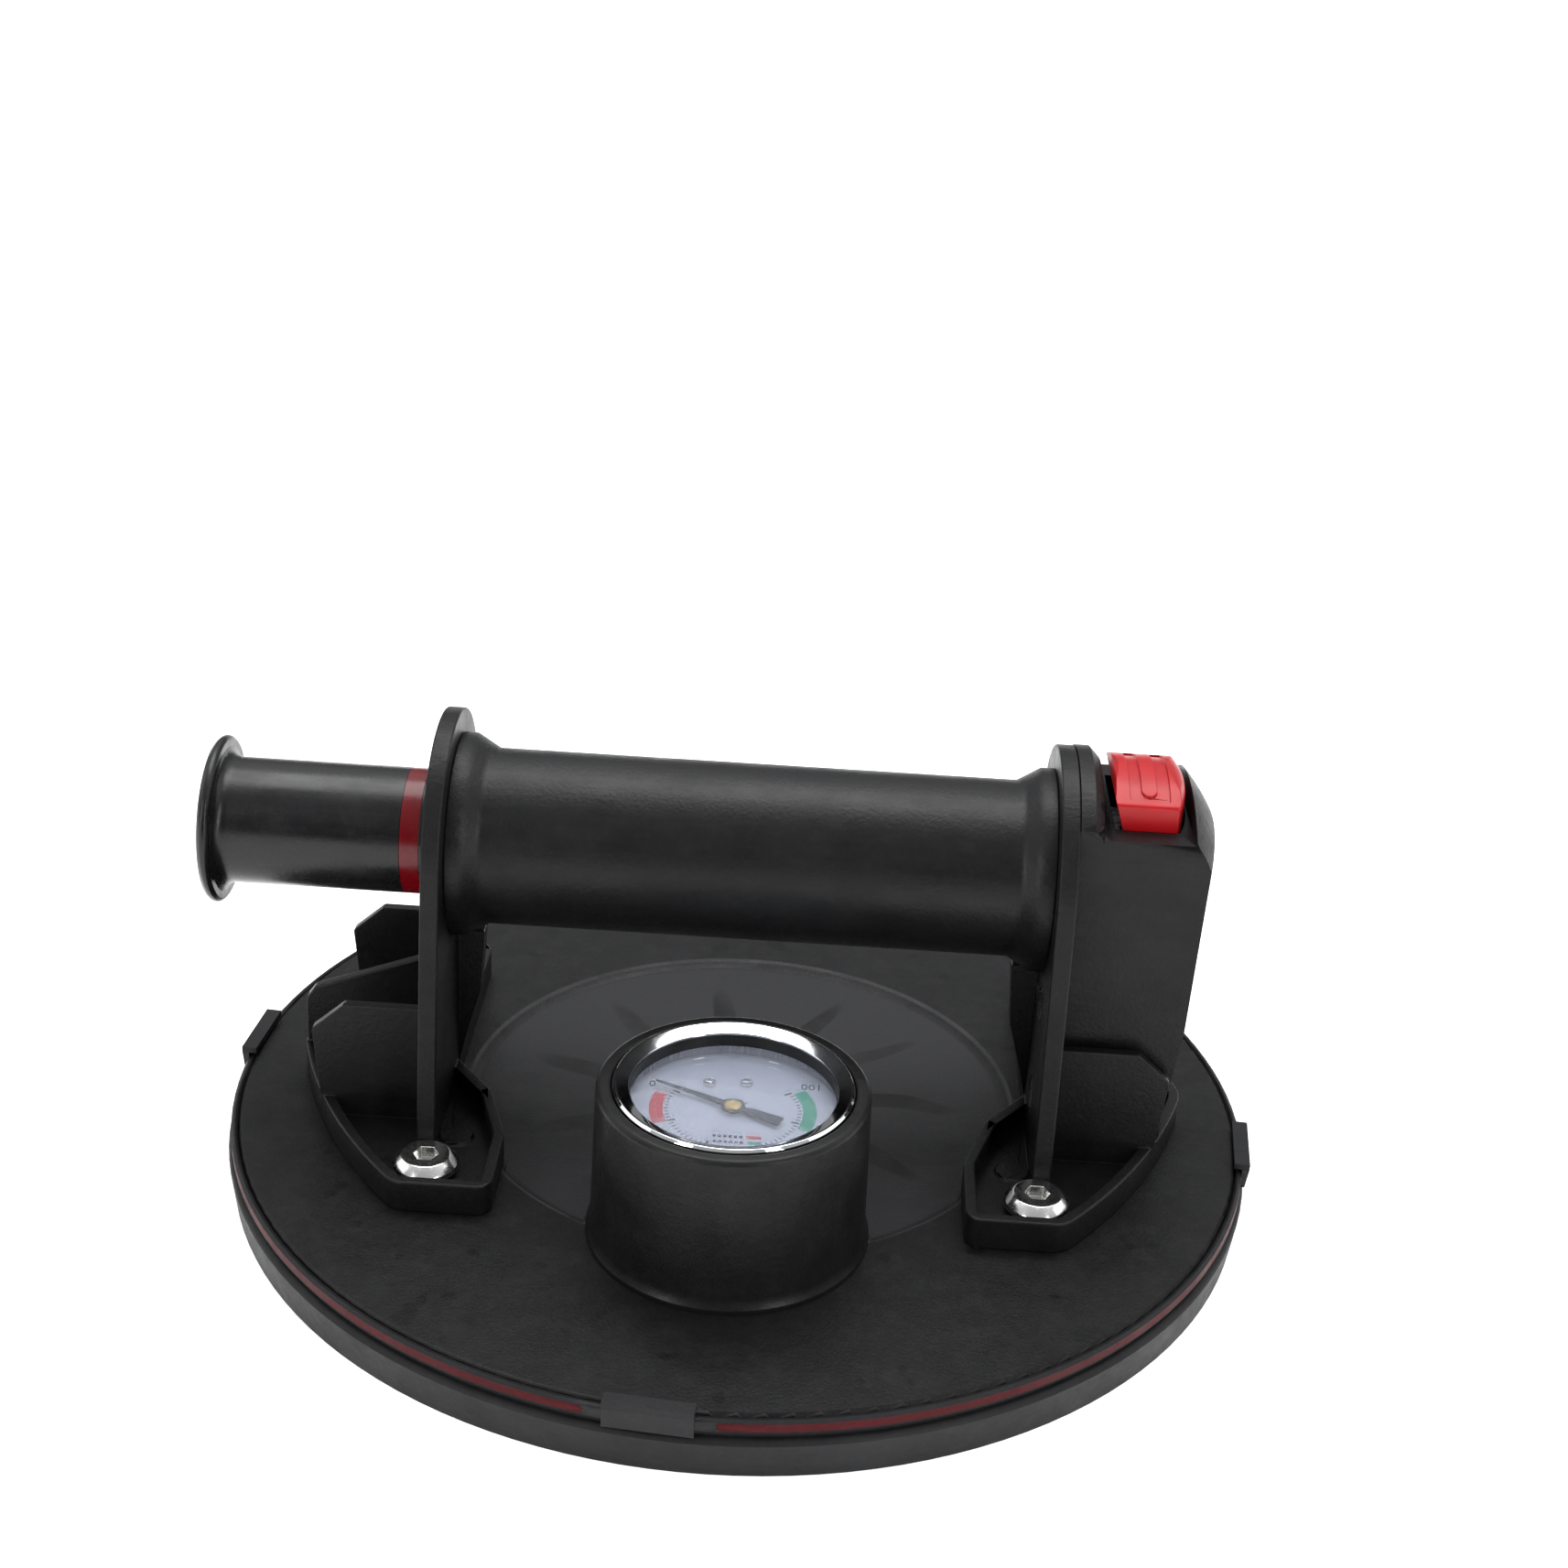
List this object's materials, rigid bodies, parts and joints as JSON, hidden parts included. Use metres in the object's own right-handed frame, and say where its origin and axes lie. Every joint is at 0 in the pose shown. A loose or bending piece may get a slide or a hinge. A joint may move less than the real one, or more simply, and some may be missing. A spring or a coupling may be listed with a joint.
{
  "type": "vacuum suction cup",
  "caption": "Round rubber vacuum lifting cup with a hand pump in its tubular grip, a red release button and a vacuum gauge.",
  "frame": {"origin": "centre of the sealing lip's plane, where the cup meets the surface it holds", "axes": "+Z away from the surface, +X along the grip towards the release button, -Y towards the gauge"},
  "size_m": [0.2075, 0.2046, 0.0908],
  "materials": {
    "pad_rubber": "moulded, satin",
    "red_rubber": "moulded, satin",
    "plate_plastic": "moulded, fine grain",
    "bracket_plastic": "moulded, fine grain",
    "grip_plastic": "moulded, fine grain",
    "plunger_plastic": "smooth",
    "red_band": "smooth",
    "button_plastic": "satin",
    "boot_rubber": "moulded, matt",
    "seal_rubber": "smooth",
    "hose_rubber": "smooth",
    "bezel_chrome": "polished",
    "lens_clear": "clear",
    "dial_white": "satin, printed",
    "needle_black": "satin",
    "brass": "turned",
    "screw_steel": "zinc plated",
    "spring_steel": "drawn wire",
    "stem_steel": "ground",
    "pump_aluminium": "honed",
    "filter_bronze": "sintered"
  },
  "bodies": {
    "cup_frame": {"vacuum_pad": "pad_rubber", "red_rim_line": "red_rubber", "base_plate": "plate_plastic", "left_bracket": "bracket_plastic", "right_bracket": "bracket_plastic", "valve_housing": "bracket_plastic", "handle_grip": "grip_plastic", "guide_bush": "plunger_plastic", "gauge_boot": "boot_rubber", "inlet_valve": "seal_rubber", "port_oring": "seal_rubber", "stem_oring": "seal_rubber", "gauge_gasket": "seal_rubber", "vacuum_hose": "hose_rubber", "gauge_bezel": "bezel_chrome", "gauge_lens": "lens_clear", "gauge_dial": "dial_white", "threaded_inserts": "brass", "hose_barb": "brass", "port_nipple": "brass", "gauge_stem": "brass", "movement_plates": "brass", "bourdon_tube": "brass", "bracket_screws": "screw_steel", "dial_screws": "screw_steel", "valve_block_screws": "screw_steel", "housing_screws": "screw_steel", "pump_spring": "spring_steel", "release_spring": "spring_steel", "gauge_case": "stem_steel", "pump_cylinder": "pump_aluminium", "cylinder_end_cap": "pump_aluminium", "valve_block": "pump_aluminium", "port_filter": "filter_bronze"},
    "plunger_set": {"plunger": "plunger_plastic", "thumb_pad": "plunger_plastic", "vacuum_warning_band": "red_band", "piston_head": "pump_aluminium", "piston_cup_seal": "seal_rubber", "seal_retainer": "stem_steel", "retainer_screw": "screw_steel"},
    "release_set": {"release_button": "button_plastic", "release_stem": "stem_steel", "release_seal": "seal_rubber"},
    "needle_set": {"gauge_needle": "needle_black", "needle_hub": "brass", "pinion_arbor": "brass"},
    "sector_set": {"sector_gear": "brass"}
  },
  "joints": [
    {"name": "pump_stroke", "type": "slide", "parent": "cup_frame", "child": "plunger_set", "axis": [1, 0, 0], "range_m": [0, 0.035], "stiffness_N_per_m": 300, "springref_m": -0.02, "deforming": ["pump_spring"]},
    {"name": "release_press", "type": "slide", "parent": "cup_frame", "child": "release_set", "axis": [0, 0, -1], "range_m": [0, 0.0025], "stiffness_N_per_m": 800, "springref_m": -0.003, "deforming": ["release_spring"]},
    {"name": "sector_turn", "type": "hinge", "parent": "cup_frame", "child": "sector_set", "pos_m": [0, -0.0596, 0.028], "axis": [0, 0, 1], "range_deg": [-30, 0], "stiffness_Nm_per_rad": 0.002, "springref_deg": 5.73},
    {"name": "needle_turn", "type": "hinge", "parent": "cup_frame", "child": "needle_set", "pos_m": [0, -0.047, 0.0365], "axis": [0, 0, 1], "range_deg": [0, 240]}
  ],
  "couplings": [
    {"joint": "needle_turn", "follows": "sector_turn", "ratio": -8}
  ]
}
